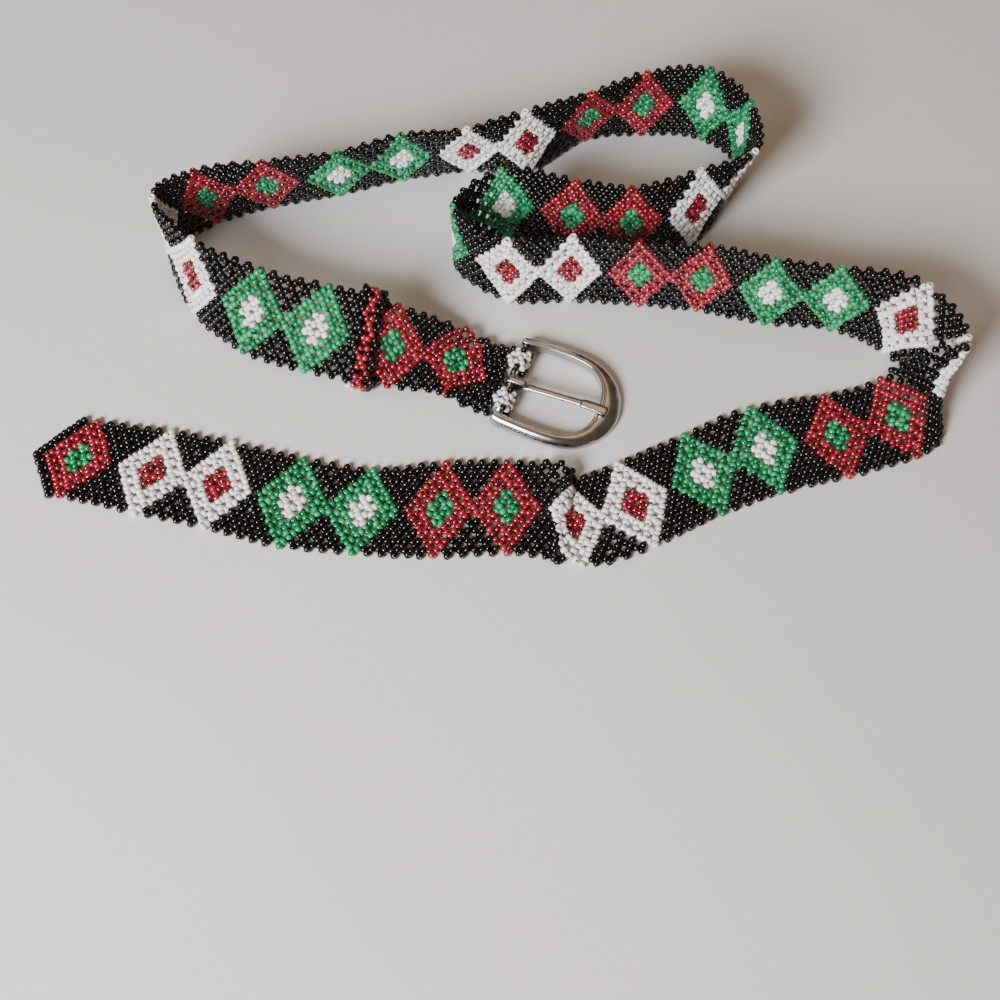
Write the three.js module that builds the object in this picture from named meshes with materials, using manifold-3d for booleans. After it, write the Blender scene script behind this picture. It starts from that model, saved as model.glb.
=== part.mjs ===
// Beaded belt lying in loose bends: woven strap, keeper loop, buckle frame, hinged prong.
// Millimetres, +Z up, the floor at z = 0, the strap's tip at the left end of the near stretch.
import * as THREE from "three";
import { mergeVertices } from "three/addons/utils/BufferGeometryUtils.js";
import Module from "manifold-3d";

// Driving sizes of the weave
const STRAP_LENGTH = 1120;
const STRAP_WIDTH = 36.6;
const BEAD = 2.4;
const TIP_STEP = -7;
const END_STEP = 470;
// How far the bead at the tip reaches past its node, in steps
const TIP_OVERHANG = 0.45;
const EDGE_BEVEL = 0.5;
const CLEARANCE = 0.3;

// The keeper loop: its place and its reach each way are counted in half meshes of the weave
const KEEPER_MESHES_BACK = 22;
const KEEPER_MIDDLE = END_STEP - KEEPER_MESHES_BACK;
const KEEPER_MESHES = 2;
const KEEPER_WALL = 2.1;

// Driving sizes of the buckle
const BUCKLE_WIDTH = STRAP_WIDTH * 1.12;
const BUCKLE_REACH = 42.6;
const BUCKLE_THICK = 4.6;
// How far the frame has slid along its bar towards the far side
const FRAME_SLIDE = 1.2;
const BAR_DIAMETER = 3.4;
const BAR_LENGTH = BUCKLE_WIDTH * 0.8;
const PRONG_WIDTH = 2.4;
const PRONG_WALL = 1.3;
const PRONG_REACH = BUCKLE_REACH * 0.9;
const FACETS = 20;

// Cross rows of nodes each side of the middle one, and the pitch between rows
const SIDE_ROWS = 5;
const ROW_PITCH = (STRAP_WIDTH - BEAD) / (2 * SIDE_ROWS);

// Route of the strap's middle line, one row for each bend or diamond.
// step: half meshes of the weave from the first diamond; x and y: hundredths of STRAP_LENGTH;
// roll: 0 lies flat, 90 stands on its near edge; slant: lead of the far edge, degrees;
// width: share of STRAP_WIDTH; lift: thicknesses of the keeper's wall.
const ROUTE = [
  { step: -8, x: -15.42, y: 1.62, roll: 0, slant: 10, width: 1, lift: 0 },
  { step: 0, x: -13.81, y: 1.45, roll: 0, slant: 10, width: 0.93, lift: 0 },
  { step: 12, x: -11.33, y: 0.96, roll: 0, slant: 6, width: 1, lift: 0 },
  { step: 22, x: -9.17, y: 0.5, roll: 0, slant: -1, width: 1, lift: 0 },
  { step: 34, x: -6.72, y: -0.12, roll: 0, slant: 0, width: 1.02, lift: 0 },
  { step: 44, x: -4.41, y: -0.43, roll: 0, slant: 8, width: 0.97, lift: 0 },
  { step: 56, x: -1.94, y: -0.37, roll: 0, slant: 9, width: 1.07, lift: 0 },
  { step: 66, x: 0.22, y: -0.29, roll: 0, slant: 0, width: 1.05, lift: 0 },
  { step: 70, x: 1.04, y: -0.36, roll: 1, slant: -9, width: 1.04, lift: 0 },
  { step: 73.5, x: 1.77, y: -0.54, roll: 12, slant: -17, width: 1.03, lift: 0 },
  { step: 78, x: 2.34, y: -0.79, roll: 0, slant: -18, width: 1, lift: 0 },
  { step: 82, x: 3.12, y: -0.72, roll: 0, slant: 2, width: 1, lift: 0 },
  { step: 88, x: 4.39, y: -0.19, roll: 0, slant: 4, width: 1, lift: 0 },
  { step: 100, x: 6.63, y: 0.89, roll: 0, slant: 3, width: 0.98, lift: 0 },
  { step: 110, x: 8.72, y: 1.78, roll: 0, slant: 3, width: 1.03, lift: 0 },
  { step: 122, x: 11.13, y: 2.29, roll: 0, slant: 3, width: 0.98, lift: 0 },
  { step: 132, x: 13.2, y: 2.9, roll: 6, slant: 0, width: 0.95, lift: 0 },
  { step: 139, x: 14.18, y: 3.38, roll: 52, slant: 4, width: 1, lift: 0 },
  { step: 144, x: 14.62, y: 3.9, roll: 102, slant: 12, width: 1, lift: 0 },
  { step: 154, x: 13.52, y: 5.9, roll: 110, slant: -3, width: 1, lift: 0 },
  { step: 166, x: 11.22, y: 6.65, roll: 96, slant: 6, width: 1, lift: 0 },
  { step: 176, x: 9.06, y: 6.93, roll: 98, slant: 3, width: 1, lift: 0 },
  { step: 188, x: 6.82, y: 7.47, roll: 98, slant: 0, width: 1, lift: 0 },
  { step: 198, x: 4.7, y: 7.65, roll: 96, slant: 5, width: 1, lift: 0 },
  { step: 210, x: 2.4, y: 7.86, roll: 98, slant: 0, width: 1, lift: 0 },
  { step: 220, x: 0.27, y: 7.78, roll: 95, slant: 3, width: 1, lift: 0 },
  { step: 232, x: -1.54, y: 9.25, roll: 90, slant: 0, width: 1, lift: 0 },
  { step: 242, x: 0.17, y: 10.56, roll: 80, slant: -3, width: 1, lift: 0 },
  { step: 254, x: 2.51, y: 10.09, roll: 80, slant: 0, width: 1, lift: 0 },
  { step: 264, x: 4.52, y: 9.8, roll: 80, slant: -3, width: 1, lift: 0 },
  { step: 276, x: 6.78, y: 10.43, roll: 76, slant: 8, width: 1, lift: 0 },
  { step: 286, x: 8.33, y: 11.75, roll: 104, slant: 4, width: 1, lift: 0 },
  { step: 298, x: 8.63, y: 13.6, roll: 91, slant: 0, width: 1, lift: 0 },
  { step: 308, x: 7.42, y: 14.96, roll: 97, slant: 4, width: 1, lift: 0 },
  { step: 320, x: 5.18, y: 14.97, roll: 91, slant: 1, width: 1, lift: 0 },
  { step: 330, x: 3.16, y: 14.42, roll: 80, slant: 2, width: 1, lift: 0 },
  { step: 342, x: 0.96, y: 13.27, roll: 92, slant: 3, width: 1, lift: 0 },
  { step: 352, x: -1.13, y: 12.92, roll: 77, slant: 2, width: 1, lift: 0 },
  { step: 364, x: -3.46, y: 12.58, roll: 79, slant: 0, width: 1, lift: 0 },
  { step: 374, x: -5.65, y: 11.88, roll: 77, slant: -1, width: 1, lift: 0 },
  { step: 386, x: -8.1, y: 11.4, roll: 80, slant: 0, width: 1, lift: 0 },
  { step: 396, x: -10.2, y: 10.86, roll: 88, slant: 6, width: 1, lift: 0 },
  { step: 408, x: -11.54, y: 9.62, roll: 92, slant: 0, width: 1, lift: 0 },
  { step: 418, x: -10.38, y: 7.64, roll: 72, slant: -7, width: 1, lift: 0 },
  { step: 430, x: -8.29, y: 6.32, roll: 53, slant: 2, width: 1, lift: 0.3 },
  { step: 440, x: -6.1, y: 5.62, roll: 46, slant: 9, width: 1, lift: 1.1 },
  { step: 448, x: -4.42, y: 5.31, roll: 34, slant: 5, width: 0.93, lift: 1.9 },
  { step: 456, x: -2.72, y: 5.14, roll: 18, slant: 2, width: 0.84, lift: 1.1 },
  { step: 462, x: -1.5, y: 5.02, roll: 8, slant: 0, width: 0.8, lift: 0.3 },
  { step: 466, x: -0.72, y: 4.57, roll: 2, slant: 0, width: 0.8, lift: 0 },
  { step: 470, x: -0.02, y: 4.3, roll: 0, slant: 0, width: 0.8, lift: 0 },
];
const ROUTE_UNIT = STRAP_LENGTH / 100;
const ROUTE_COLUMNS = ["x", "y", "roll", "slant", "width", "lift"];

// Tabs that fold round the bar: middle and width as shares of STRAP_WIDTH
const TABS = [
  { middle: 0.256, width: 0.289 },
  { middle: -0.234, width: 0.289 },
];
const LOOP_INNER = BAR_DIAMETER / 2 + CLEARANCE;
const LOOP_OUTER = LOOP_INNER + BEAD;
const BAR_HEIGHT = LOOP_OUTER;
const BAR_AHEAD = 4.6;
const TAB_TAIL = 10.5;

// Side view of a tab's fold, the bar at its middle. The tail's heights over the floor are shares
// of BEAD, the arc closes at an angle in degrees, and the rest are shares of BAR_HEIGHT,
// LOOP_OUTER, LOOP_INNER or BAR_AHEAD where the two leaves meet over the strap's end.
const FOLD = {
  tailFoot: 0.4,
  tailTop: 1.9,
  footReach: 0.9,
  closing: 76,
  closingHeight: 0.72,
  meetFloor: 0.9,
  meetTop: 0.25,
  meetReach: 0.95,
};

// Half outline of the buckle frame from bar to far band.
// reach columns: shares of BUCKLE_REACH; side columns: shares of half BUCKLE_WIDTH.
const OUTLINE = [
  { outerReach: -0.055, outerSide: 0.92, innerReach: -0.055, innerSide: 0.76 },
  { outerReach: 0.03, outerSide: 0.97, innerReach: 0.045, innerSide: 0.76 },
  { outerReach: 0.15, outerSide: 0.98, innerReach: 0.15, innerSide: 0.8 },
  { outerReach: 0.3, outerSide: 1, innerReach: 0.3, innerSide: 0.81 },
  { outerReach: 0.46, outerSide: 1, innerReach: 0.45, innerSide: 0.8 },
  { outerReach: 0.62, outerSide: 0.96, innerReach: 0.59, innerSide: 0.75 },
  { outerReach: 0.77, outerSide: 0.83, innerReach: 0.69, innerSide: 0.63 },
  { outerReach: 0.89, outerSide: 0.61, innerReach: 0.76, innerSide: 0.44 },
  { outerReach: 0.97, outerSide: 0.32, innerReach: 0.79, innerSide: 0.22 },
  { outerReach: 1, outerSide: 0, innerReach: 0.8, innerSide: 0 },
];

// Section of the buckle frame from the outer foot over the dome to the inner foot.
// across: share from outer to inner edge; height: share of BUCKLE_THICK.
const BAND_SECTION = [
  { across: 0.08, height: 0 },
  { across: 0, height: 0.22 },
  { across: 0.08, height: 0.6 },
  { across: 0.32, height: 0.88 },
  { across: 0.7, height: 1 },
  { across: 0.9, height: 0.94 },
  { across: 1, height: 0.62 },
  { across: 0.95, height: 0 },
];

// Shaft of the prong: reach as shares of PRONG_REACH, wide of PRONG_WIDTH, thick and rise of PRONG_WALL.
// It leaves the curl at the front, near the height of the bar's middle; rise counts from the curl's top.
const SHAFT = [
  { reach: 0.069, wide: 0.95, thick: 1, rise: -1.6 },
  { reach: 0.14, wide: 0.92, thick: 1.2, rise: -1.35 },
  { reach: 0.5, wide: 0.92, thick: 1.3, rise: -0.38 },
  { reach: 0.725, wide: 0.92, thick: 1.3, rise: 0.26 },
  { reach: 0.745, wide: 1.4, thick: 1.4, rise: 0.38 },
  { reach: 0.9, wide: 1.45, thick: 1.3, rise: 0.58 },
  { reach: 0.97, wide: 1.1, thick: 1, rise: 0.5 },
  { reach: 1, wide: 0.6, thick: 0.5, rise: 0.42 },
];
const SHAFT_FACETS = 10;

const LOOKS = {
  beadwork: { color: 0x1a1a1e, roughness: 0.35, metalness: 0 },
  keeperBeads: { color: 0x7d1f2c, roughness: 0.35, metalness: 0 },
  chrome: { color: 0xc9ccd0, roughness: 0.2, metalness: 1 },
};

const wasm = await Module();
wasm.setup();

function solidOf(geometry) {
  let bare = geometry.clone();
  bare.deleteAttribute("normal");
  bare.deleteAttribute("uv");
  bare = mergeVertices(bare, 1e-4);
  const mesh = new wasm.Mesh({
    numProp: 3,
    vertProperties: new Float32Array(bare.attributes.position.array),
    triVerts: new Uint32Array(bare.index.array),
  });
  return new wasm.Manifold(mesh);
}

function geometryOf(solid) {
  const mesh = solid.getMesh();
  const geometry = new THREE.BufferGeometry();
  geometry.setAttribute("position", new THREE.BufferAttribute(new Float32Array(mesh.vertProperties), 3));
  geometry.setIndex(new THREE.BufferAttribute(new Uint32Array(mesh.triVerts), 1));
  return geometry;
}

// Closed skin through rings of points that run anticlockwise seen from ahead
function loft(rings) {
  const sides = rings[0].length;
  const positions = rings.flat().flatMap((point) => point.toArray());
  const index = [];
  for (let ring = 0; ring < rings.length - 1; ring += 1) {
    for (let side = 0; side < sides; side += 1) {
      const next = (side + 1) % sides;
      const a = ring * sides + side;
      const b = ring * sides + next;
      const c = a + sides;
      const d = b + sides;
      index.push(a, b, d, a, d, c);
    }
  }
  const last = (rings.length - 1) * sides;
  for (let side = 1; side < sides - 1; side += 1) {
    index.push(0, side + 1, side, last, last + side, last + side + 1);
  }
  const geometry = new THREE.BufferGeometry();
  geometry.setAttribute("position", new THREE.Float32BufferAttribute(positions, 3));
  geometry.setIndex(index);
  return geometry;
}

// Cubic through the rows of the route, timed by the step column
function routeAt(step) {
  const last = ROUTE.length - 1;
  let row = 0;
  while (row < last - 1 && ROUTE[row + 1].step <= step) row += 1;
  const from = ROUTE[row];
  const to = ROUTE[row + 1];
  const gap = to.step - from.step;
  const t = (step - from.step) / gap;
  const slope = (at, key) => {
    const before = ROUTE[Math.max(at - 1, 0)];
    const after = ROUTE[Math.min(at + 1, last)];
    return (after[key] - before[key]) / (after.step - before.step);
  };
  const place = {};
  for (const key of ROUTE_COLUMNS) {
    place[key] =
      (2 * t ** 3 - 3 * t ** 2 + 1) * from[key] +
      (t ** 3 - 2 * t ** 2 + t) * gap * slope(row, key) +
      (3 * t ** 2 - 2 * t ** 3) * to[key] +
      (t ** 3 - t ** 2) * gap * slope(row + 1, key);
  }
  return place;
}

// Frame of the strap at a step: centre, ahead, wide (towards the far edge), out (top face)
function sectionAt(step) {
  const place = routeAt(step);
  const before = routeAt(Math.max(step - 0.5, ROUTE[0].step));
  const after = routeAt(Math.min(step + 0.5, END_STEP));
  const ahead = new THREE.Vector3(after.x - before.x, after.y - before.y, 0).normalize();
  const left = new THREE.Vector3(-ahead.y, ahead.x, 0);
  const roll = THREE.MathUtils.degToRad(place.roll);
  const slant = THREE.MathUtils.degToRad(place.slant);
  const wide = left.multiplyScalar(Math.cos(roll)).add(new THREE.Vector3(0, 0, Math.sin(roll)));
  wide.multiplyScalar(Math.cos(slant)).addScaledVector(ahead, Math.sin(slant));
  const out = new THREE.Vector3().crossVectors(ahead, wide).normalize();
  const halfWidth = (place.width * STRAP_WIDTH) / 2;
  // The lowest corner of the section stands on the floor, or above it by the lift
  const corner = (halfWidth - EDGE_BEVEL) * Math.abs(wide.z) + (BEAD / 2) * Math.abs(out.z);
  const rise = Math.max(halfWidth * Math.abs(wide.z), corner) + Math.max(place.lift, 0) * KEEPER_WALL;
  const centre = new THREE.Vector3(place.x * ROUTE_UNIT, place.y * ROUTE_UNIT, rise);
  return { centre, ahead, wide, out, halfWidth, width: place.width };
}

// Half width of the woven net, cut back to a point at the tip
function netHalfWidth(step, section) {
  const rows = Math.min(Math.max(step - TIP_STEP, 0), SIDE_ROWS);
  return rows * ROW_PITCH * section.width + BEAD / 2;
}

function strapRing(step) {
  const section = sectionAt(step);
  const reach = netHalfWidth(step, section);
  const flat = reach - EDGE_BEVEL;
  const half = BEAD / 2;
  const corners = [
    [reach, 0],
    [flat, half],
    [-flat, half],
    [-reach, 0],
    [-flat, -half],
    [flat, -half],
  ];
  return corners.map(([across, up]) =>
    section.centre.clone().addScaledVector(section.wide, across).addScaledVector(section.out, up));
}

function strapSolid(buckleFrame) {
  const steps = [TIP_STEP - TIP_OVERHANG];
  for (let step = TIP_STEP; step <= END_STEP; step += 1) steps.push(step);
  let solid = solidOf(loft(steps.map(strapRing)));
  for (const tab of TABS) solid = solid.add(tabSolid(tab, buckleFrame));
  return solid;
}

// Tab: under the bar, round it and back on top of the strap, one closed profile pulled sideways
function tabSolid(tab, buckleFrame) {
  const profile = new THREE.Shape();
  profile.moveTo(-TAB_TAIL, -BAR_HEIGHT + BEAD * FOLD.tailFoot);
  profile.lineTo(-BAR_AHEAD * FOLD.footReach, -BAR_HEIGHT);
  profile.lineTo(0, -BAR_HEIGHT);
  profile.absarc(0, 0, LOOP_OUTER, -Math.PI / 2, THREE.MathUtils.degToRad(FOLD.closing), false);
  profile.lineTo(-BAR_AHEAD, LOOP_OUTER * FOLD.closingHeight);
  profile.lineTo(-TAB_TAIL, -BAR_HEIGHT + BEAD * FOLD.tailTop);
  profile.closePath();
  const hollow = new THREE.Path();
  hollow.moveTo(0, LOOP_INNER);
  hollow.absarc(0, 0, LOOP_INNER, Math.PI / 2, -Math.PI / 2, true);
  hollow.lineTo(-BAR_AHEAD, -LOOP_INNER * FOLD.meetFloor);
  hollow.lineTo(-BAR_AHEAD * FOLD.meetReach, -LOOP_INNER * FOLD.meetTop);
  hollow.closePath();
  profile.holes.push(hollow);
  const width = tab.width * STRAP_WIDTH;
  const block = new THREE.ExtrudeGeometry(profile, { depth: width, bevelEnabled: false, curveSegments: FACETS });
  // Pulled along +Z: turned so that the pull runs along -Y, then moved to the tab's place
  block.rotateX(Math.PI / 2);
  block.translate(0, tab.middle * STRAP_WIDTH + width / 2, 0);
  block.applyMatrix4(buckleFrame);
  return solidOf(block);
}

// Frame at the bar's middle: x ahead of the strap's end, y along the bar, z up
function frameAtBar() {
  const end = sectionAt(END_STEP);
  const up = new THREE.Vector3(0, 0, 1);
  const along = new THREE.Vector3().crossVectors(up, end.ahead);
  const middle = end.centre.clone().addScaledVector(end.ahead, BAR_AHEAD);
  middle.z = BAR_HEIGHT;
  return new THREE.Matrix4().makeBasis(end.ahead, along, up).setPosition(middle);
}

// The far band rests on the floor while the bar is held up by the tabs
function pitchedFrame(buckleFrame) {
  const pitch = Math.asin((BAR_HEIGHT - BUCKLE_THICK / 2) / BUCKLE_REACH);
  return buckleFrame.clone().multiply(new THREE.Matrix4().makeRotationY(pitch));
}

// Section of the frame between an outer and an inner point of its outline, both in millimetres
function bandRing(outer, inner) {
  return BAND_SECTION.map(({ across, height }) => {
    const point = new THREE.Vector3().lerpVectors(outer, inner, across);
    point.z = (height - 0.5) * BUCKLE_THICK;
    return point;
  });
}

// The outline from one end of the bar round the far band to the other, bent smoothly
function bandRings() {
  const half = BUCKLE_WIDTH / 2;
  const rows = OUTLINE.map((row) => ({ ...row, side: 1 }));
  for (const row of OUTLINE.slice(0, -1).reverse()) rows.push({ ...row, side: -1 });
  const curveOf = (reach, side) => new THREE.CatmullRomCurve3(
    rows.map((row) => new THREE.Vector3(row[reach] * BUCKLE_REACH, row[side] * half * row.side, 0)));
  const outer = curveOf("outerReach", "outerSide");
  const inner = curveOf("innerReach", "innerSide");
  const count = (rows.length - 1) * 2;
  const rings = [];
  for (let k = 0; k <= count; k += 1) rings.push(bandRing(outer.getPoint(k / count), inner.getPoint(k / count)));
  return rings;
}

function buckleFrameSolid(pitched) {
  const rings = bandRings();
  for (const point of rings.flat()) point.y += FRAME_SLIDE;
  const band = solidOf(loft(rings));
  const bar = new THREE.CylinderGeometry(BAR_DIAMETER / 2, BAR_DIAMETER / 2, BAR_LENGTH, FACETS);
  bar.translate(0, FRAME_SLIDE, 0);
  const whole = geometryOf(band.add(solidOf(bar)));
  whole.applyMatrix4(pitched);
  return solidOf(whole);
}

function shaftRing(row) {
  const middle = LOOP_INNER + PRONG_WALL / 2;
  const ring = [];
  for (let k = 0; k < SHAFT_FACETS; k += 1) {
    const angle = (2 * Math.PI * k) / SHAFT_FACETS;
    ring.push(new THREE.Vector3(
      row.reach * PRONG_REACH,
      (row.wide * PRONG_WIDTH * Math.cos(angle)) / 2,
      middle + (row.rise + (row.thick * Math.sin(angle)) / 2) * PRONG_WALL));
  }
  return ring;
}

function prongSolid(pitched) {
  const outer = new THREE.CylinderGeometry(LOOP_INNER + PRONG_WALL, LOOP_INNER + PRONG_WALL, PRONG_WIDTH, FACETS);
  const bore = new THREE.CylinderGeometry(LOOP_INNER, LOOP_INNER, PRONG_WIDTH * 2, FACETS);
  const shaft = solidOf(loft(SHAFT.map(shaftRing)));
  const whole = geometryOf(solidOf(outer).add(shaft).subtract(solidOf(bore)));
  whole.applyMatrix4(pitched);
  return solidOf(whole);
}

// Flat sleeve that follows the strap's own bend, with the given play round the net
function sleeveSolid(play, firstStep, lastStep) {
  const rings = [];
  for (let step = firstStep; step <= lastStep; step += 1) {
    const section = sectionAt(step);
    const reach = section.halfWidth + play;
    const half = BEAD / 2 + play;
    const corners = [[reach, -half], [reach, half], [-reach, half], [-reach, -half]];
    rings.push(corners.map(([across, up]) =>
      section.centre.clone().addScaledVector(section.wide, across).addScaledVector(section.out, up)));
  }
  return solidOf(loft(rings));
}

function keeperSolid() {
  const first = KEEPER_MIDDLE - KEEPER_MESHES;
  const last = KEEPER_MIDDLE + KEEPER_MESHES;
  const shell = sleeveSolid(CLEARANCE + KEEPER_WALL, first, last);
  return shell.subtract(sleeveSolid(CLEARANCE, first - 1, last + 1));
}

function named(name, solid, looks) {
  const material = new THREE.MeshStandardMaterial({ ...looks, flatShading: true });
  const mesh = new THREE.Mesh(geometryOf(solid), material);
  mesh.name = name;
  return mesh;
}

const barFrame = frameAtBar();
const pitched = pitchedFrame(barFrame);
const belt = new THREE.Group();
belt.name = "beaded_belt";
belt.add(named("strap", strapSolid(barFrame), LOOKS.beadwork));
belt.add(named("keeper_loop", keeperSolid(), LOOKS.keeperBeads));
belt.add(named("buckle_frame", buckleFrameSolid(pitched), LOOKS.chrome));
belt.add(named("buckle_prong", prongSolid(pitched), LOOKS.chrome));

// The middle of the footprint becomes the origin
const box = new THREE.Box3().setFromObject(belt);
for (const mesh of belt.children) {
  mesh.geometry.translate(-(box.min.x + box.max.x) / 2, -(box.min.y + box.max.y) / 2, -box.min.z);
  mesh.geometry.computeVertexNormals();
}

export default belt;
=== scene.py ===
# %% [markdown]
# # A beaded belt lying in loose bends
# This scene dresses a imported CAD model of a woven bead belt. The CAD gives the frame: a plain band,
# a keeper loop, a buckle frame and a prong. Here the band becomes thousands of glass seed beads on
# thread, and the buckle becomes polished cast metal.

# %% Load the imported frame
import math
import bpy
import numpy as np
from mathutils import Matrix, Vector


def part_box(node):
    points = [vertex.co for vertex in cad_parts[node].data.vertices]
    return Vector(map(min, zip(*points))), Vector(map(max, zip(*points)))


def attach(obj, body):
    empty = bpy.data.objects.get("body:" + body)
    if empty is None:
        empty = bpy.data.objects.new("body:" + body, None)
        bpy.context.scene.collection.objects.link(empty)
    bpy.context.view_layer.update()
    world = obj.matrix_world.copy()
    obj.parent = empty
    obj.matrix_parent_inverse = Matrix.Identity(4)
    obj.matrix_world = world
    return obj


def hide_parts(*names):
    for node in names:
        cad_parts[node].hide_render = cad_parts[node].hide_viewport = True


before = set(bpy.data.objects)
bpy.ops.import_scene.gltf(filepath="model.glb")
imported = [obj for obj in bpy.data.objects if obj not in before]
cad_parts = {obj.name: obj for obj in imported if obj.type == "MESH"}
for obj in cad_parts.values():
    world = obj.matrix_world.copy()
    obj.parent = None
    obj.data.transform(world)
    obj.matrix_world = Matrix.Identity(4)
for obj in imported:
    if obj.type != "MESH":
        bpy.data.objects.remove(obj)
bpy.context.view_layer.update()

# %% [markdown]
# ## Helpers
# Colours are written as the sRGB hex values that a painter would pick, so one function turns them
# to Blender's linear values. Another adds a shader node with its settings and its links.

# %% Colour and node helpers


def hex_colour(code):
    values = [int(code[i:i + 2], 16) / 255 for i in (1, 3, 5)]
    linear = [v / 12.92 if v <= 0.04045 else ((v + 0.055) / 1.055) ** 2.4 for v in values]
    return (*linear, 1.0)


def add_node(material, kind, settings=None, links=None, **inputs):
    tree = material.node_tree
    node = tree.nodes.new(kind)
    for key, value in (settings or {}).items():
        setattr(node, key, value)
    for key, value in inputs.items():
        node.inputs[key.replace("_", " ")].default_value = value
    for key, source in (links or {}).items():
        tree.links.new(source, node.inputs[key])
    return node


def new_material(name):
    material = bpy.data.materials.new(name)
    material.use_nodes = True
    material.node_tree.nodes.clear()
    return material


def finish_material(material, shader):
    output = add_node(material, "ShaderNodeOutputMaterial")
    material.node_tree.links.new(shader, output.inputs["Surface"])
    return material


def ramp_of(material, factor, stops, interpolation="LINEAR"):
    ramp = add_node(material, "ShaderNodeValToRGB", links={"Fac": factor})
    ramp.color_ramp.interpolation = interpolation
    while len(ramp.color_ramp.elements) < len(stops):
        ramp.color_ramp.elements.new(0.5)
    for element, (place, code) in zip(ramp.color_ramp.elements, stops):
        element.position = place
        element.color = hex_colour(code)
    return ramp.outputs["Color"]

# %% [markdown]
# ## The strap's route
# The strap is one long ribbon, so its place is worked out once and everything is laid on it. Each
# row of the route is a bend or a diamond of the pattern: how far along the weave it is, where the
# middle line lies, how far the ribbon is rolled up on its near edge, and how far its far edge leads.

# %% Sizes and route


STRAP_LENGTH = 1.120
STRAP_WIDTH = 0.0366
BEAD = 0.0024
SIDE_ROWS = 5
ROW_PITCH = (STRAP_WIDTH - BEAD) / (2 * SIDE_ROWS)
TIP_STEP = -7
END_STEP = 470
EDGE_BEVEL = 0.0005
CLEARANCE = 0.0003
KEEPER_WALL = 0.0021
KEEPER_STEP = 448

# step in half meshes; x and y in hundredths of the length; roll and slant in degrees;
# width as a share of STRAP_WIDTH; lift in thicknesses of the keeper's wall
ROUTE = [
    (-8, -15.42, 1.62, 0, 10, 1, 0),
    (0, -13.81, 1.45, 0, 10, 0.93, 0),
    (12, -11.33, 0.96, 0, 6, 1, 0),
    (22, -9.17, 0.5, 0, -1, 1, 0),
    (34, -6.72, -0.12, 0, 0, 1.02, 0),
    (44, -4.41, -0.43, 0, 8, 0.97, 0),
    (56, -1.94, -0.37, 0, 9, 1.07, 0),
    (66, 0.22, -0.29, 0, 0, 1.05, 0),
    (70, 1.04, -0.36, 1, -9, 1.04, 0),
    (73.5, 1.77, -0.54, 12, -17, 1.03, 0),
    (78, 2.34, -0.79, 0, -18, 1, 0),
    (82, 3.12, -0.72, 0, 2, 1, 0),
    (88, 4.39, -0.19, 0, 4, 1, 0),
    (100, 6.63, 0.89, 0, 3, 0.98, 0),
    (110, 8.72, 1.78, 0, 3, 1.03, 0),
    (122, 11.13, 2.29, 0, 3, 0.98, 0),
    (132, 13.2, 2.9, 6, 0, 0.95, 0),
    (139, 14.18, 3.38, 52, 4, 1, 0),
    (144, 14.62, 3.9, 102, 12, 1, 0),
    (154, 13.52, 5.9, 110, -3, 1, 0),
    (166, 11.22, 6.65, 96, 6, 1, 0),
    (176, 9.06, 6.93, 98, 3, 1, 0),
    (188, 6.82, 7.47, 98, 0, 1, 0),
    (198, 4.7, 7.65, 96, 5, 1, 0),
    (210, 2.4, 7.86, 98, 0, 1, 0),
    (220, 0.27, 7.78, 95, 3, 1, 0),
    (232, -1.54, 9.25, 90, 0, 1, 0),
    (242, 0.17, 10.56, 80, -3, 1, 0),
    (254, 2.51, 10.09, 80, 0, 1, 0),
    (264, 4.52, 9.8, 80, -3, 1, 0),
    (276, 6.78, 10.43, 76, 8, 1, 0),
    (286, 8.33, 11.75, 104, 4, 1, 0),
    (298, 8.63, 13.6, 91, 0, 1, 0),
    (308, 7.42, 14.96, 97, 4, 1, 0),
    (320, 5.18, 14.97, 91, 1, 1, 0),
    (330, 3.16, 14.42, 80, 2, 1, 0),
    (342, 0.96, 13.27, 92, 3, 1, 0),
    (352, -1.13, 12.92, 77, 2, 1, 0),
    (364, -3.46, 12.58, 79, 0, 1, 0),
    (374, -5.65, 11.88, 77, -1, 1, 0),
    (386, -8.1, 11.4, 80, 0, 1, 0),
    (396, -10.2, 10.86, 88, 6, 1, 0),
    (408, -11.54, 9.62, 92, 0, 1, 0),
    (418, -10.38, 7.64, 72, -7, 1, 0),
    (430, -8.29, 6.32, 53, 2, 1, 0.3),
    (440, -6.1, 5.62, 46, 9, 1, 1.1),
    (448, -4.42, 5.31, 34, 5, 0.93, 1.9),
    (456, -2.72, 5.14, 18, 2, 0.84, 1.1),
    (462, -1.5, 5.02, 8, 0, 0.8, 0.3),
    (466, -0.72, 4.57, 2, 0, 0.8, 0),
    (470, -0.02, 4.3, 0, 0, 0.8, 0),
]
ROUTE_TABLE = np.array(ROUTE, float)

# %% Walk along the route


def route_at(step):
    """x, y, roll, slant, width and lift at a step, on a smooth curve through the rows."""
    rows = ROUTE_TABLE
    last = len(rows) - 1
    row = min(max(int(np.searchsorted(rows[:, 0], step, side="right")) - 1, 0), last - 1)
    gap = rows[row + 1, 0] - rows[row, 0]
    t = (step - rows[row, 0]) / gap

    def slope(at):
        before, after = rows[max(at - 1, 0)], rows[min(at + 1, last)]
        return (after[1:] - before[1:]) / (after[0] - before[0])

    return ((2 * t ** 3 - 3 * t ** 2 + 1) * rows[row, 1:] + (t ** 3 - 2 * t ** 2 + t) * gap * slope(row)
            + (3 * t ** 2 - 2 * t ** 3) * rows[row + 1, 1:] + (t ** 3 - t ** 2) * gap * slope(row + 1))


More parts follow.
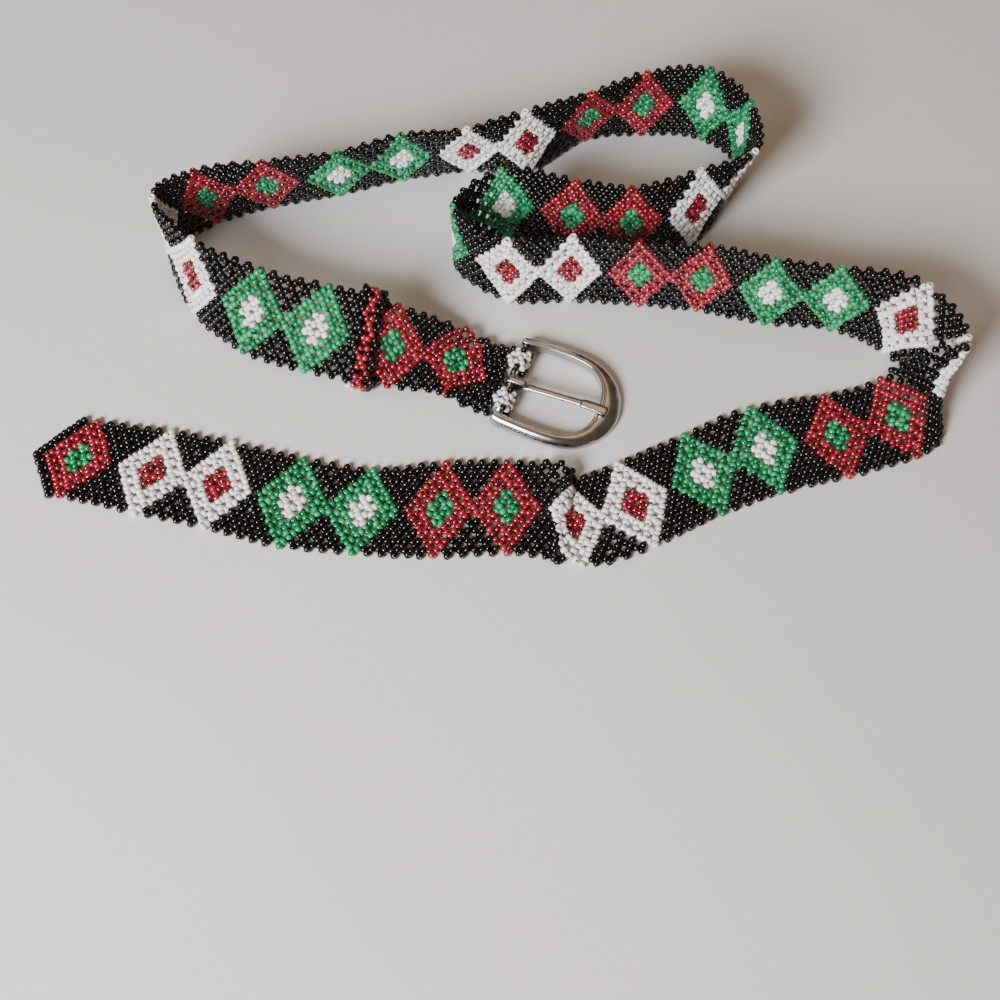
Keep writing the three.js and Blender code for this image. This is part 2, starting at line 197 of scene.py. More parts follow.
def section_at(step):
    """Centre, ahead, wide and out directions, and width share of the ribbon at a step."""
    x, y, roll, slant, width, lift = route_at(step)
    before = route_at(max(step - 0.5, ROUTE_TABLE[0, 0]))
    after = route_at(min(step + 0.5, END_STEP))
    ahead = Vector((after[0] - before[0], after[1] - before[1], 0)).normalized()
    left = Vector((-ahead.y, ahead.x, 0))
    roll, slant = math.radians(roll), math.radians(slant)
    square = left * math.cos(roll) + Vector((0, 0, math.sin(roll)))
    wide = square * math.cos(slant) + ahead * math.sin(slant)
    out = ahead.cross(wide).normalized()
    half = width * STRAP_WIDTH / 2
    corner = (half - EDGE_BEVEL) * abs(wide.z) + BEAD / 2 * abs(out.z)
    rise = max(half * abs(wide.z), corner) + max(lift, 0) * KEEPER_WALL
    centre = Vector((x * STRAP_LENGTH / 100, y * STRAP_LENGTH / 100, rise))
    return centre, ahead, wide, out, width


def ribbon_corners(step):
    """The CAD band's own corners at a step, before it was moved to the frame's origin."""
    centre, _, wide, out, width = section_at(step)
    rows = min(max(step - TIP_STEP, 0), SIDE_ROWS)
    reach = rows * ROW_PITCH * width + BEAD / 2
    flat = reach - EDGE_BEVEL
    half = BEAD / 2
    places = [(reach, 0), (flat, half), (-flat, half), (-reach, 0), (-flat, -half), (flat, -half)]
    return [centre + wide * across + out * up for across, up in places]


TIP_OVERHANG = 0.45
steps = [TIP_STEP - TIP_OVERHANG] + list(range(TIP_STEP, END_STEP + 1))
raw = np.array([corner for step in steps for corner in ribbon_corners(step)])
strap_low, strap_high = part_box("strap")
raw_low, raw_high = raw.min(0), raw.max(0)
SHIFT = Vector((strap_low.x - raw_low[0], strap_low.y - raw_low[1], strap_high.z - raw_high[2]))
print("route moved by", SHIFT, "far side differs by", strap_high.x - raw_high[0] - SHIFT.x)

# %% [markdown]
# ## The camera
# The camera comes first, so that every render shows the photograph's view: from the front, looking
# down at 65 degrees, close enough for a little perspective.

# %% Camera


CAMERA_DISTANCE = 0.490
CAMERA_DIP = math.radians(65)
FOCAL_LENGTH = 48.6

camera_data = bpy.data.cameras.new("view_camera")
camera_data.sensor_width = 36
camera_data.lens = FOCAL_LENGTH
camera_data.clip_start = 0.01
camera = bpy.data.objects.new("view_camera", camera_data)
bpy.context.scene.collection.objects.link(camera)
camera_back = CAMERA_DISTANCE * math.cos(CAMERA_DIP)
camera_height = CAMERA_DISTANCE * math.sin(CAMERA_DIP)
camera.location = (SHIFT.x, SHIFT.y - camera_back, camera_height)
camera.rotation_euler = (math.pi / 2 - CAMERA_DIP, 0, 0)
bpy.context.scene.camera = camera

# %% [markdown]
# ## One seed bead
# A seed bead is a short piece of drawn glass tube, tumbled until its rims are round. A torus that is
# stretched along its hole has just that shape, with a few dozen faces, which matters because the
# belt needs thousands of them.

# %% Seed bead template


# The CAD band is a bead thick. Beads on a thread lie a little askew, so they stand out over it.
BEAD_GIRTH = 0.0029
BEAD_LENGTH = 0.0023
# shares of half the girth, with the hole in the middle
BEAD_WALL_MIDDLE = 0.65
BEAD_WALL = 0.37


def deselect_all():
    bpy.ops.object.select_all(action="DESELECT")


def bead_template():
    deselect_all()
    bpy.ops.mesh.primitive_torus_add(major_segments=8, minor_segments=6,
                                     major_radius=BEAD_WALL_MIDDLE, minor_radius=BEAD_WALL)
    bead = bpy.context.object
    bpy.ops.object.mode_set(mode="EDIT")
    bpy.ops.mesh.select_all(action="SELECT")
    bpy.ops.transform.resize(value=(1, 1, BEAD_LENGTH / BEAD_GIRTH / BEAD_WALL))
    bpy.ops.object.mode_set(mode="OBJECT")
    points = np.array([v.co[:] for v in bead.data.vertices])
    faces = np.array([p.vertices[:] for p in bead.data.polygons])
    bpy.data.objects.remove(bead)
    return points, faces


BEAD_POINTS, BEAD_FACES = bead_template()
print("one bead has", len(BEAD_FACES), "faces, size", BEAD_POINTS.min(0), BEAD_POINTS.max(0))

# %% [markdown]
# ## The netting
# The strap is netting with three beads to a stitch. Shared node beads sit where threads cross, with
# a side bead between each pair of neighbours, which leaves a small hole in every mesh. So node beads
# lie on a checkerboard of steps and rows, and side beads lie half-way between two nodes. The colour
# of a bead follows from its place in a diamond, so the pattern is a rule and not a list.

# %% Pattern rule


DIAMOND_KINDS = ("white", "green", "red")
HEART_OF = {"white": "red", "green": "white", "red": "green"}
DIAMOND_GAP = 12
PAIR_GAP = 10
PAIR_COUNT = 21
DIAMOND_HALF_STEPS = 6
DIAMOND_REACH = 2.5
HEART_REACH = 1


def diamond_centres():
    centres = [(0, "red")]
    step = DIAMOND_GAP
    for pair in range(PAIR_COUNT):
        kind = DIAMOND_KINDS[pair % 3]
        centres += [(step, kind), (step + PAIR_GAP, kind)]
        step += DIAMOND_GAP + PAIR_GAP
    return centres


DIAMONDS = diamond_centres()


def colour_of(step, row):
    for centre, kind in DIAMONDS:
        if abs(step - centre) <= DIAMOND_HALF_STEPS:
            lean = max(abs(step - centre + row), abs(step - centre - row)) / 2
            if lean <= HEART_REACH:
                return HEART_OF[kind]
            if lean <= DIAMOND_REACH:
                return kind
    return "black"


def inside_tip(step, row):
    """The pointed end: nothing beyond the two slanting last lines of beads."""
    return step - abs(row) >= TIP_STEP - 0.01


# %% Lay the beads


rng = np.random.default_rng(11)


class BeadField:
    """Beads of one colour and stretch: where each is, where its hole points, and its size."""

    def __init__(self):
        self.places = {}

    def add(self, group, centre, hole, face, size=(1, 1, 1)):
        self.places.setdefault(group, []).append((centre, hole, face, size))


beads = BeadField()
threads = []


def surface_point(section, row):
    centre, _, wide, _, width = section
    return centre + wide * (row * ROW_PITCH * width) + SHIFT


sections = {k / 2: section_at(k / 2) for k in range(2 * TIP_STEP - 2, 2 * END_STEP + 1)}
# length of one step along the strap, which has about 480
STEP_PITCH = STRAP_LENGTH / 480
# the black beads are split at these steps, so that they are a few pieces and not one heavy one
STRETCH_ENDS = (("near", 90), ("right", 210), ("back", 350), ("left", END_STEP + 1))


def stretch_of(step):
    return next(name for name, end in STRETCH_ENDS if step < end)


def lay_bead(step, row, hole_turn):
    section = sections[step]
    _, ahead, wide, out, width = section
    direction = wide * ROW_PITCH * width + ahead * (hole_turn * STEP_PITCH)
    direction = direction.normalized()
    colour = colour_of(step, row)
    group = colour if colour != "black" else "black_" + stretch_of(step)
    beads.add(group, surface_point(section, row), direction, out)


for step in range(TIP_STEP, END_STEP + 1):
    for row in range(-SIDE_ROWS, SIDE_ROWS + 1):
        if (step + row) % 2 == 0 or not inside_tip(step, row):
            continue
        lay_bead(step, row, 0)
        for up in (1, -1):
            if step < END_STEP and abs(row + up) <= SIDE_ROWS and inside_tip(step + 1, row + up):
                lay_bead(step + 0.5, row + up / 2, up)
                here = surface_point(sections[step], row)
                threads.append((here, surface_point(sections[step + 1], row + up)))

# %% [markdown]
# ## The keeper loop
# A keeper is a short ring of the same netting that holds a belt's free end down. It could be copied from
# a flat piece and bent, but the strap is rolled here, so the ring is laid straight on a path that runs
# round the strap's own section: two straights and two half circles. A red zigzag runs between black rows.

# %% Keeper beads


KEEPER_ROWS = 2
KEEPER_ROW_STEPS = 0.85
KEEPER_TURNS = 22
KEEPER_SEAM = 2.5
KEEPER_BEND = BEAD / 2 + CLEARANCE + KEEPER_WALL / 2


def keeper_point(turn, row):
    """Place and outward direction at a count of turns round the strap, a row along it."""
    centre, _, wide, out, width = section_at(KEEPER_STEP + row * KEEPER_ROW_STEPS)
    straight = width * STRAP_WIDTH - BEAD
    arc = math.pi * KEEPER_BEND
    run = (turn % KEEPER_TURNS) / KEEPER_TURNS * 2 * (straight + arc)
    side = 1 if run < straight + arc else -1
    run -= 0 if side == 1 else straight + arc
    if run < straight:
        across, up = side * (run - straight / 2), side * KEEPER_BEND
        normal = out * side
    else:
        angle = (run - straight) / KEEPER_BEND
        across = side * (straight / 2 + KEEPER_BEND * math.sin(angle))
        up = side * KEEPER_BEND * math.cos(angle)
        normal = (wide * math.sin(angle) + out * math.cos(angle)) * side
    return centre + wide * across + out * up + SHIFT, normal


def keeper_colour(turn, row):
    """A red line with teeth between black rows, and a few white beads where the ring closes."""
    zigzag = (turn % 4, row) in ((1, 1), (3, -1))
    if turn > KEEPER_TURNS - KEEPER_SEAM and row <= -1:
        return "white"
    return "red" if abs(row) <= 0.5 or zigzag else "black"


for turn in range(KEEPER_TURNS):
    for row in range(-KEEPER_ROWS, KEEPER_ROWS + 1):
        if (turn + row) % 2:
            continue
        here, face = keeper_point(turn, row)
        beads.add(keeper_colour(turn, row) + "_keeper", here, section_at(KEEPER_STEP)[1], face)
        for up in (1, -1):
            if abs(row + up) <= KEEPER_ROWS:
                there, _ = keeper_point(turn + 1, row + up)
                middle, face = keeper_point(turn + 0.5, row + up / 2)
                beads.add(keeper_colour(turn + 0.5, row + up / 2) + "_keeper", middle, there - here, face)
                threads.append((here, there))

# %% [markdown]
# ## The folds round the buckle's bar
# The strap ends in two tabs, one each side of the prong. Each goes under the bar, round it and back on
# top of the strap, where it is sewn down. On the real belt two white rings of eight beads sit on each
# fold. The netting is laid along the fold's side view, so the rings bend round the bar as they do there.

# %% Bar and folds


BAR_AHEAD = 0.0046
BAR_DIAMETER = 0.0034
LOOP_INNER = BAR_DIAMETER / 2 + CLEARANCE
BAR_HEIGHT = LOOP_INNER + BEAD
FOLD_RADIUS = LOOP_INNER + BEAD / 2
FOLD_TAIL = 0.0105
FOLD_STEP = 0.00233
FOLD_ROW = 0.0033
FOLD_FIRST, FOLD_LAST = -5, 4
FOLD_SIDE_ROWS = 1
# the beads along a tab's two edges, in rows from its middle
EDGE_BEAD_ROW = 1.22

# the folds' beads are drawn a little smaller, as shares of a full bead, so that their rings stay open
FOLD_BEAD = (0.84, 0.84, 0.84)
# middle of each tab as a share of the strap's width, and how high on the bar its two rings meet
FOLDS = ((0.256, 82), (-0.234, 64))

end_section = section_at(END_STEP)
up_axis = Vector((0, 0, 1))
bar_ahead = end_section[1]
bar_along = up_axis.cross(bar_ahead)
bar_middle = end_section[0] + bar_ahead * BAR_AHEAD + SHIFT
bar_middle.z = BAR_HEIGHT + SHIFT.z
bar_frame = Matrix((bar_ahead, bar_along, up_axis)).transposed().to_4x4()
bar_frame.translation = bar_middle
print("bar at", bar_middle, "along", bar_along)


def fold_point(run, aside):
    """Place and outward direction on a fold: run from the top of the bar forwards, aside along the bar."""
    half_turn = math.pi * FOLD_RADIUS
    if run < 0:
        tail = Vector((-FOLD_TAIL, 0, 1.5 * BEAD - BAR_HEIGHT))
        top = Vector((0, 0, FOLD_RADIUS))
        back = (tail - top).normalized()
        place, normal = top - back * run, Vector((back.z, 0, -back.x))
    elif run < half_turn:
        angle = run / FOLD_RADIUS
        normal = Vector((math.sin(angle), 0, math.cos(angle)))
        place = normal * FOLD_RADIUS
    else:
        place, normal = Vector((half_turn - run, 0, -FOLD_RADIUS)), Vector((0, 0, -1))
    return bar_frame @ (place + Vector((0, aside, 0))), bar_frame.to_3x3() @ normal


def fold_colour(step, row):
    """White on the two rings of eight, which meet at step 0, and black elsewhere."""
    return "white_rosettes" if abs(abs(abs(step) - 1) + abs(row) - 1) < 0.01 else "black_folds"


for middle, height in FOLDS:
    start = FOLD_RADIUS * math.radians(90 - height)
    for step in range(FOLD_FIRST, FOLD_LAST + 1):
        for row in range(-FOLD_SIDE_ROWS, FOLD_SIDE_ROWS + 1):
            run, aside = start + step * FOLD_STEP, middle * STRAP_WIDTH
            if (step + row) % 2:
                if row:
                    place, face = fold_point(run, aside + row * EDGE_BEAD_ROW * FOLD_ROW)
                    beads.add("black_folds", place, bar_ahead, face, FOLD_BEAD)
                continue
            here, face = fold_point(run, aside + row * FOLD_ROW)
            beads.add(fold_colour(step, row), here, bar_along, face, FOLD_BEAD)
            for up in (1, -1):
                if abs(row + up) <= FOLD_SIDE_ROWS and step < FOLD_LAST:
                    there, _ = fold_point(run + FOLD_STEP, aside + (row + up) * FOLD_ROW)
                    between, face = fold_point(run + FOLD_STEP / 2, aside + (row + up / 2) * FOLD_ROW)
                    beads.add(fold_colour(step + 0.5, row + up / 2), between, there - here, face, FOLD_BEAD)
                    threads.append((here, there))

for group, items in beads.places.items():
    print(group, len(items), "beads")

# %% Build bead meshes


# Beads of one bag differ a little. Tilt is a share of the hole's length, and both spreads of the size.
HOLE_TILT = 0.18
GIRTH_SPREAD = 0.03
LENGTH_SPREAD = 0.07
NUDGE = BEAD * 0.05


def bead_mesh(name, items, material, body, replaces=None):
    count = len(items)
    centres = np.array([item[0][:] for item in items])
    holes = np.array([item[1][:] for item in items])
    faces_out = np.array([item[2][:] for item in items])
    sizes = np.array([item[3] for item in items])
    holes /= np.linalg.norm(holes, axis=1)[:, None]
    holes += rng.normal(0, HOLE_TILT, holes.shape)
    holes /= np.linalg.norm(holes, axis=1)[:, None]
    side = np.cross(faces_out, holes)
    side /= np.linalg.norm(side, axis=1)[:, None]
    out = np.cross(holes, side)
    turn = rng.uniform(0, 2 * math.pi, count)[:, None]
    x_axis = side * np.cos(turn) + out * np.sin(turn)
    y_axis = np.cross(holes, x_axis)
    girths = rng.normal(1.0, GIRTH_SPREAD, count).clip(0.92, 1.07)
    lengths = rng.normal(1.0, LENGTH_SPREAD, count).clip(0.85, 1.15)
    girth = (BEAD_GIRTH / 2) * girths[:, None] * sizes[:, :1]
    length = (BEAD_GIRTH / 2) * lengths[:, None] * sizes[:, 2:]
    nudge = rng.normal(0, NUDGE, (count, 3))
    basis = np.stack([x_axis * girth, y_axis * girth, holes * length], axis=1)
    points = np.einsum("pk,nkc->npc", BEAD_POINTS, basis) + (centres + nudge)[:, None, :]
    faces = BEAD_FACES[None] + (np.arange(count) * len(BEAD_POINTS))[:, None, None]
    mesh = bpy.data.meshes.new(name)
    mesh.from_pydata(points.reshape(-1, 3).tolist(), [], faces.reshape(-1, 4).tolist())
    mesh.shade_smooth()
    tone = np.repeat(rng.uniform(0, 1, count), len(BEAD_POINTS)).astype(np.float32)
    mesh.attributes.new("bead_tone", "FLOAT", "POINT").data.foreach_set("value", tone)
    piece = bpy.data.objects.new(name, mesh)
    bpy.context.scene.collection.objects.link(piece)
    mesh.materials.append(material)
    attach(piece, body)
    if replaces:
        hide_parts(replaces)
    print(name, count, "beads,", 2 * len(mesh.polygons), "triangles")

# %% [markdown]
# ## Glass of the beads
# Each colour is its own glass. Black beads are jet glass: no coat, but a sharp gloss that shows as one
# small bright point on each, and a few are slightly brown. White is chalk glass, softer in its gloss,
# and lets light a little way in, so its shadows stay pale. Green does the same less. Red beads are clear
# glass with a coloured lining, so they are a little metallic under a full coat and glitter more. The
# fine bump breaks the points up. The tone attribute gives each bead its own shade, as no two are alike.

# %% Bead materials


def bead_glass(name, stops, roughness, coat, subsurface=0.0, metallic=0.0):
    material = new_material(name)
    tone = add_node(material, "ShaderNodeAttribute", {"attribute_name": "bead_tone"})
    colour = ramp_of(material, tone.outputs["Fac"], stops)
    coords = add_node(material, "ShaderNodeTexCoord")
    grain = add_node(material, "ShaderNodeTexNoise", links={"Vector": coords.outputs["Object"]},
                     Scale=900.0, Detail=2.0)
    bump = add_node(material, "ShaderNodeBump", links={"Height": grain.outputs["Fac"]},
                    Strength=0.12, Distance=0.0002)
    shader = add_node(material, "ShaderNodeBsdfPrincipled",
                      links={"Base Color": colour, "Normal": bump.outputs["Normal"]},
                      Roughness=roughness, IOR=1.52, Coat_Weight=coat, Coat_Roughness=0.06,
                      Metallic=metallic, Subsurface_Weight=subsurface)
    shader.inputs["Subsurface Scale"].default_value = 0.0006
    return finish_material(material, shader.outputs["BSDF"])


BEAD_GLASS = {
    "black": bead_glass("jet_glass_bead", [(0.0, "#020202"), (0.7, "#050505"), (1.0, "#100c0b")],
                        roughness=0.12, coat=0.0),
    "white": bead_glass("chalk_glass_bead", [(0.0, "#d8d5d2"), (0.6, "#e8e6e3"), (1.0, "#f6f5f3")],
                        roughness=0.25, coat=0.3, subsurface=0.15),
    "green": bead_glass("green_glass_bead", [(0.0, "#0a6238"), (0.5, "#13804b"), (1.0, "#2f9f67")],
                        roughness=0.18, coat=0.4, subsurface=0.1),
    "red": bead_glass("ruby_lined_glass_bead", [(0.0, "#5e0513"), (0.5, "#8c0d22"), (1.0, "#a81e33")],
                      roughness=0.16, coat=1.0, metallic=0.2),
}

FIRST_OF_NODE = {"black_near": "strap", "black_keeper": "keeper_loop"}
for group, items in sorted(beads.places.items()):
    glass = BEAD_GLASS[group.split("_")[0]]
    bead_mesh("beads_" + group, items, glass, "belt", FIRST_OF_NODE.get(group))

# %% [markdown]
# ## Thread
# The thread runs from node to node through the side beads. Only short glints of it show between the
# beads, so each run is a thin three-sided cord.

# %% Net thread


THREAD = 0.00035
thread_glass = new_material("waxed_nylon_thread")
thread_shader = add_node(thread_glass, "ShaderNodeBsdfPrincipled",
                         Base_Color=hex_colour("#16151a"), Roughness=0.6)
finish_material(thread_glass, thread_shader.outputs["BSDF"])


def thread_mesh(name, runs, body):
    points, faces = [], []
    for start, end in runs:
        along = (end - start).normalized()
        side = along.orthogonal().normalized()
        first = len(points)
        for place in (start, end):
            for k in range(3):
                points.append(place + Matrix.Rotation(k * 2 * math.pi / 3, 3, along) @ side * THREAD / 2)
        for k in range(3):
            after = (k + 1) % 3
            faces.append((first + k, first + after, first + 3 + after, first + 3 + k))
        faces += [(first + 2, first + 1, first), (first + 3, first + 4, first + 5)]
    mesh = bpy.data.meshes.new(name)
    mesh.from_pydata([p[:] for p in points], [], faces)
    piece = bpy.data.objects.new(name, mesh)
    bpy.context.scene.collection.objects.link(piece)
    mesh.materials.append(thread_glass)
    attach(piece, body)
    print(name, len(runs), "runs of thread")


thread_mesh("net_thread", threads, "belt")

# %% [markdown]
# ## The buckle
# The buckle is a die-cast frame: two arms and a broad, slightly domed far band, with a thin raised rim
# along the opening. Its section stays much the same while its width changes, so a curve with one bevel
# would not do. A grid is wrapped instead: its columns follow the outline and its rows the section.
# The grid's seam is merged, its ends are filled, and subdivision rounds the cast edges.

# %% Buckle sizes


BUCKLE_WIDTH = STRAP_WIDTH * 1.12
BUCKLE_REACH = 0.0426
BUCKLE_THICK = 0.0046
FRAME_SLIDE = 0.0012
BAR_LENGTH = BUCKLE_WIDTH * 0.8
PRONG_WIDTH = 0.0024
PRONG_WALL = 0.0013
PRONG_REACH = BUCKLE_REACH * 0.9

# shares: outer reach, outer side, inner reach and inner side, of BUCKLE_REACH and half BUCKLE_WIDTH
OUTLINE = [
    (-0.055, 0.92, -0.055, 0.76),
    (0.03, 0.97, 0.045, 0.76),
    (0.15, 0.98, 0.15, 0.8),
    (0.3, 1, 0.3, 0.81),
    (0.46, 1, 0.45, 0.8),
    (0.62, 0.96, 0.59, 0.75),
    (0.77, 0.83, 0.69, 0.63),
    (0.89, 0.61, 0.76, 0.44),
    (0.97, 0.32, 0.79, 0.22),
    (1, 0, 0.8, 0),
]

# share across from the outer to the inner edge, and share of BUCKLE_THICK, from foot to foot
BAND_SECTION = [
    (0.06, 0), (0, 0.05), (0, 0.36), (0.02, 0.46), (0.14, 0.7), (0.36, 0.89), (0.6, 0.98), (0.74, 1),
    (0.78, 0.96), (0.82, 0.96), (0.87, 1), (0.96, 0.97), (1, 0.88), (1, 0.05), (0.94, 0),
]

# share of PRONG_REACH, of PRONG_WIDTH, and of PRONG_WALL twice: thickness, and rise from the curl's top
SHAFT = [
    (0.155, 1.15, 1.3, -1.32), (0.5, 1.15, 1.4, -0.38),
    (0.7, 1.18, 1.4, 0.2), (0.72, 1.2, 1.4, 0.26), (0.735, 1.55, 1.5, 0.36), (0.755, 1.62, 1.5, 0.4),
    (0.9, 1.66, 1.4, 0.58), (0.97, 1.6, 1.2, 0.52), (1, 1.4, 0.8, 0.44),
]

pitch = math.asin((BAR_HEIGHT - BUCKLE_THICK / 2) / BUCKLE_REACH)
pitched_frame = bar_frame @ Matrix.Rotation(pitch, 4, "Y")

# %% Wrap a grid


def smooth_rows(rows, parts):
    """Rows of numbers with parts - 1 more between each two, on a curve through them."""
    rows = np.array(rows, float)
    padded = np.vstack([2 * rows[0] - rows[1], rows, 2 * rows[-1] - rows[-2]])
    out = []
    for k in range(len(rows) - 1):
        a, b, c, d = padded[k:k + 4]
        for t in np.arange(parts) / parts:
            out.append(0.5 * (2 * b + (c - a) * t + (2 * a - 5 * b + 4 * c - d) * t ** 2
                              + (3 * b - a - 3 * c + d) * t ** 3))
    return out + [rows[-1]]


def wrapped_grid(name, rings):
    """A grid laid through rings of points, closed round each ring and filled at both ends."""
    deselect_all()
    columns, rows = len(rings) - 1, len(rings[0])
    bpy.ops.mesh.primitive_grid_add(x_subdivisions=columns, y_subdivisions=rows, size=1)
    piece = bpy.context.object
    piece.name = piece.data.name = name
    for vertex in piece.data.vertices:
        column = round((vertex.co.x + 0.5) * columns)
        row = round((vertex.co.y + 0.5) * rows)
        vertex.co = rings[column][row % rows]
    bpy.ops.object.mode_set(mode="EDIT")
    bpy.ops.mesh.select_all(action="SELECT")
    bpy.ops.mesh.remove_doubles(threshold=0.000001)
    bpy.ops.mesh.select_all(action="DESELECT")
    bpy.ops.mesh.select_mode(type="EDGE")
    bpy.ops.mesh.select_non_manifold()
    bpy.ops.mesh.fill_holes(sides=0)
    bpy.ops.mesh.select_all(action="SELECT")
    bpy.ops.mesh.normals_make_consistent(inside=False)
    bpy.ops.object.mode_set(mode="OBJECT")
    rounding = piece.modifiers.new("rounding", "SUBSURF")
    rounding.levels = rounding.render_levels = 2
    bpy.ops.object.modifier_apply(modifier=rounding.name)
    piece.data.shade_smooth()
    return piece


def finish_metal(piece, body, node):
    piece.data.transform(pitched_frame)
    piece.data.materials.clear()
    piece.data.materials.append(plated_casting)
    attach(piece, body)
    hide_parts(node)
    print(piece.name, "has", len(piece.data.polygons), "faces")

# %% [markdown]
# ## Plated zinc casting
# A cheap buckle is zinc, cast in a die, tumbled and nickel plated. Its gloss is good but never a mirror:
# the tumbling leaves fine scratches and slow waves, which blur and bend the reflections a little.

# %% Buckle metal


plated_casting = new_material("nickel_plated_zinc_casting")
metal_coords = add_node(plated_casting, "ShaderNodeTexCoord")
# waves about 6 mm long, and tumbling marks about 0.4 mm long, coarser than real so that they show
metal_place = metal_coords.outputs["Object"]
metal_wave = add_node(plated_casting, "ShaderNodeTexNoise", links={"Vector": metal_place},
                      Scale=160.0, Detail=1.0)
metal_marks = add_node(plated_casting, "ShaderNodeTexNoise", links={"Vector": metal_place},
                       Scale=2400.0, Detail=3.0)
wave_bump = add_node(plated_casting, "ShaderNodeBump", links={"Height": metal_wave.outputs["Fac"]},
                     Strength=0.25, Distance=0.0004)
mark_bump = add_node(plated_casting, "ShaderNodeBump",
                     links={"Height": metal_marks.outputs["Fac"], "Normal": wave_bump.outputs["Normal"]},
                     Strength=0.2, Distance=0.0001)
metal_tone = ramp_of(plated_casting, metal_wave.outputs["Fac"], [(0.3, "#a0a09e"), (0.7, "#bbbbb9")])
metal_shader = add_node(plated_casting, "ShaderNodeBsdfPrincipled",
                        links={"Base Color": metal_tone, "Normal": mark_bump.outputs["Normal"]},
                        Metallic=1.0, Roughness=0.2)
finish_material(plated_casting, metal_shader.outputs["BSDF"])

# %% Buckle frame


def frame_rings():
    rows = smooth_rows(OUTLINE, 2)
    sides = [(row, 1) for row in rows] + [(row, -1) for row in rows[-2::-1]]
    rings = []
    for (outer_reach, outer_side, inner_reach, inner_side), side in sides:
        outer = Vector((outer_reach * BUCKLE_REACH, side * outer_side * BUCKLE_WIDTH / 2 + FRAME_SLIDE, 0))
        inner = Vector((inner_reach * BUCKLE_REACH, side * inner_side * BUCKLE_WIDTH / 2 + FRAME_SLIDE, 0))
        rings.append([outer.lerp(inner, across) + Vector((0, 0, (height - 0.5) * BUCKLE_THICK))
                      for across, height in BAND_SECTION])
    return rings


frame_piece = wrapped_grid("buckle_frame_plated", frame_rings())
bpy.ops.mesh.primitive_cylinder_add(vertices=32, radius=BAR_DIAMETER / 2, depth=BAR_LENGTH,
                                    location=(0, FRAME_SLIDE, 0), rotation=(math.pi / 2, 0, 0))
bar = bpy.context.object
deselect_all()
bar.select_set(True)
frame_piece.select_set(True)
bpy.context.view_layer.objects.active = frame_piece
bpy.ops.object.join()
frame_piece.data.shade_smooth()
finish_metal(frame_piece, "belt", "buckle_frame")

# %% [markdown]
# ## The prong
# The prong is one strip. Its free end lies on the shaft, goes back over the bar, curls round behind it and
# comes forward underneath. From there the shaft runs along the middle and ends in a flat, wider tip that
# rests on the far band. The same wrapped grid makes it, with a ring at each place of its side view,
# square to the way that the strip runs there.

# %% Prong


PRONG_SIDES = 12
CURL_START, CURL_END, CURL_STEP = 90, 271, 20
CURL_WIDE = 1.15
# below 1 the strip's section is squarer than an ellipse
SECTION_POWER = 0.7
# ahead of the bar and up from it, as shares of the curl's radius: the strip's free end over the bar, which
# comes down on the shaft, and its foot, which rises from under the bar to the shaft
CURL_FREE_END = [(2.35, 0.88), (1.6, 1.02), (0.75, 1.03)]
CURL_FOOT = [(0.75, -0.85), (1.35, -0.35), (1.75, 0.12)]


def prong_ring(place, normal, wide, thick):
    ring = []
    for k in range(PRONG_SIDES):
        angle = 2 * math.pi * k / PRONG_SIDES
        across, up = math.cos(angle), math.sin(angle)
        across = math.copysign(abs(across) ** SECTION_POWER, across) * wide * PRONG_WIDTH / 2
        up = math.copysign(abs(up) ** SECTION_POWER, up) * thick * PRONG_WALL / 2
        ring.append(place + normal * up + Vector((0, across, 0)))
    return ring


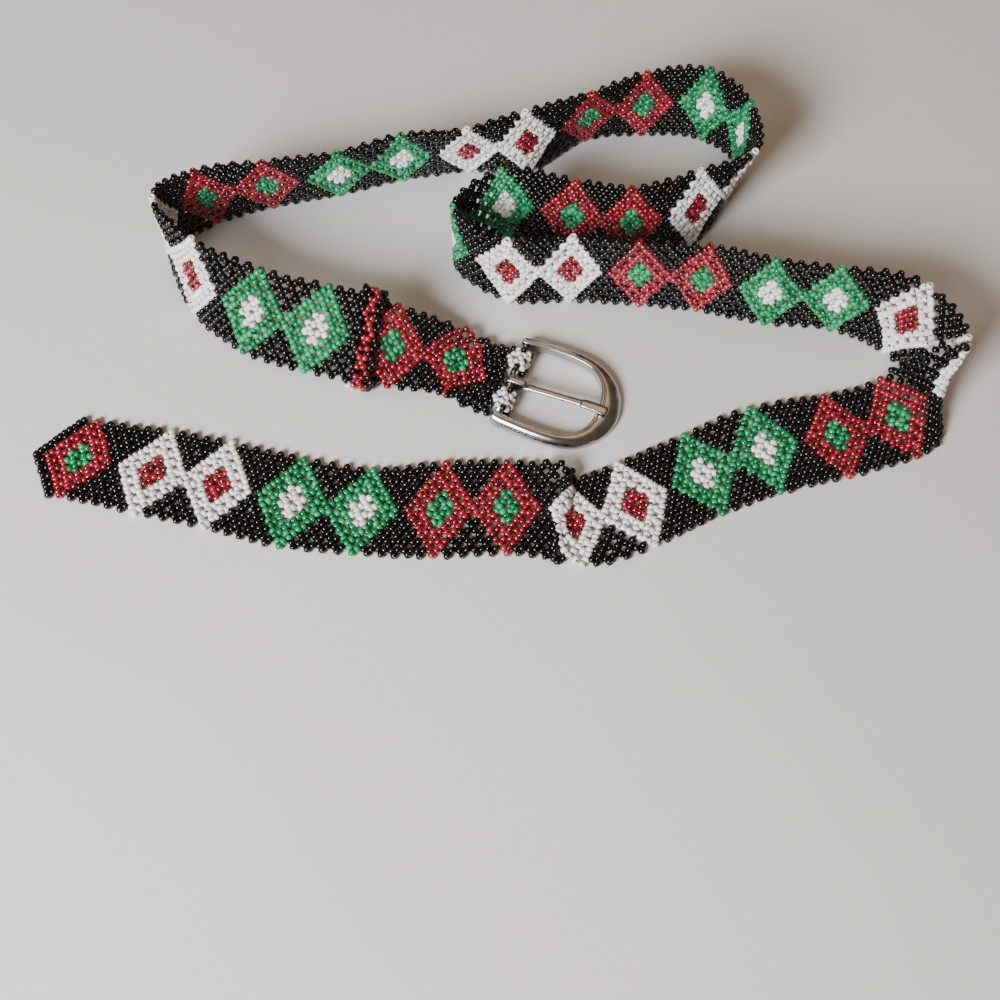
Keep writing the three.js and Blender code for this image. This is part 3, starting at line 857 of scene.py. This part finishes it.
def prong_rings():
    middle = LOOP_INNER + PRONG_WALL / 2
    turns = [math.radians(turn) for turn in range(CURL_START, CURL_END, CURL_STEP)]
    curl = CURL_FREE_END + [(math.cos(turn), math.sin(turn)) for turn in turns] + CURL_FOOT
    path = [(middle * ahead, middle * up, CURL_WIDE, 1) for ahead, up in curl]
    path += [(reach * PRONG_REACH, middle + rise * PRONG_WALL, wide, thick)
             for reach, wide, thick, rise in SHAFT]
    rings = []
    for k, (ahead, up, wide, thick) in enumerate(path):
        before, after = path[max(k - 1, 0)], path[min(k + 1, len(path) - 1)]
        normal = Vector((after[1] - before[1], 0, before[0] - after[0])).normalized()
        rings.append(prong_ring(Vector((ahead, 0, up)), normal, wide, thick))
    return rings


prong_piece = wrapped_grid("buckle_prong_plated", prong_rings())
finish_metal(prong_piece, "prong", "buckle_prong")

# %% [markdown]
# ## Floor and light
# The belt lies on a pale, slightly warm table top. One soft window light comes from the viewer's left,
# so each standing stretch throws its shadow back and to the right. The ceiling and the room fill those
# shadows with a little warm light, which makes them brown.

# %% Floor


floor_material = new_material("pale_table_top")
floor_coords = add_node(floor_material, "ShaderNodeTexCoord")
floor_noise = add_node(floor_material, "ShaderNodeTexNoise",
                       links={"Vector": floor_coords.outputs["Object"]}, Scale=3.0, Detail=3.0)
floor_colour = ramp_of(floor_material, floor_noise.outputs["Fac"], [(0.3, "#d0cfcd"), (0.7, "#d6d5d4")])
floor_shader = add_node(floor_material, "ShaderNodeBsdfPrincipled",
                        links={"Base Color": floor_colour}, Roughness=0.6)
finish_material(floor_material, floor_shader.outputs["BSDF"])

deselect_all()
bpy.ops.mesh.primitive_plane_add(size=6, location=(0, 0, 0))
floor = bpy.context.object
floor.name = "table_top"
floor.data.materials.append(floor_material)

# %% Lights


def area_light(name, place, target, size, watts, colour):
    data = bpy.data.lights.new(name, "AREA")
    data.size = size
    data.energy = watts
    data.color = hex_colour(colour)[:3]
    lamp = bpy.data.objects.new(name, data)
    lamp.location = place
    lamp.rotation_euler = (Vector(target) - Vector(place)).to_track_quat("-Z", "Y").to_euler()
    bpy.context.scene.collection.objects.link(lamp)


area_light("window_light", (-0.62, -0.74, 0.68), (0, 0, 0), 0.46, 31.5, "#f8f9ff")
area_light("ceiling_fill", (0.1, 0.3, 1.3), (0, 0, 0), 1.0, 3.5, "#ffd9b4")

world = bpy.data.worlds.new("room")
world.use_nodes = True
world.node_tree.nodes["Background"].inputs["Color"].default_value = hex_colour("#e0c6a8")
world.node_tree.nodes["Background"].inputs["Strength"].default_value = 0.2
bpy.context.scene.world = world
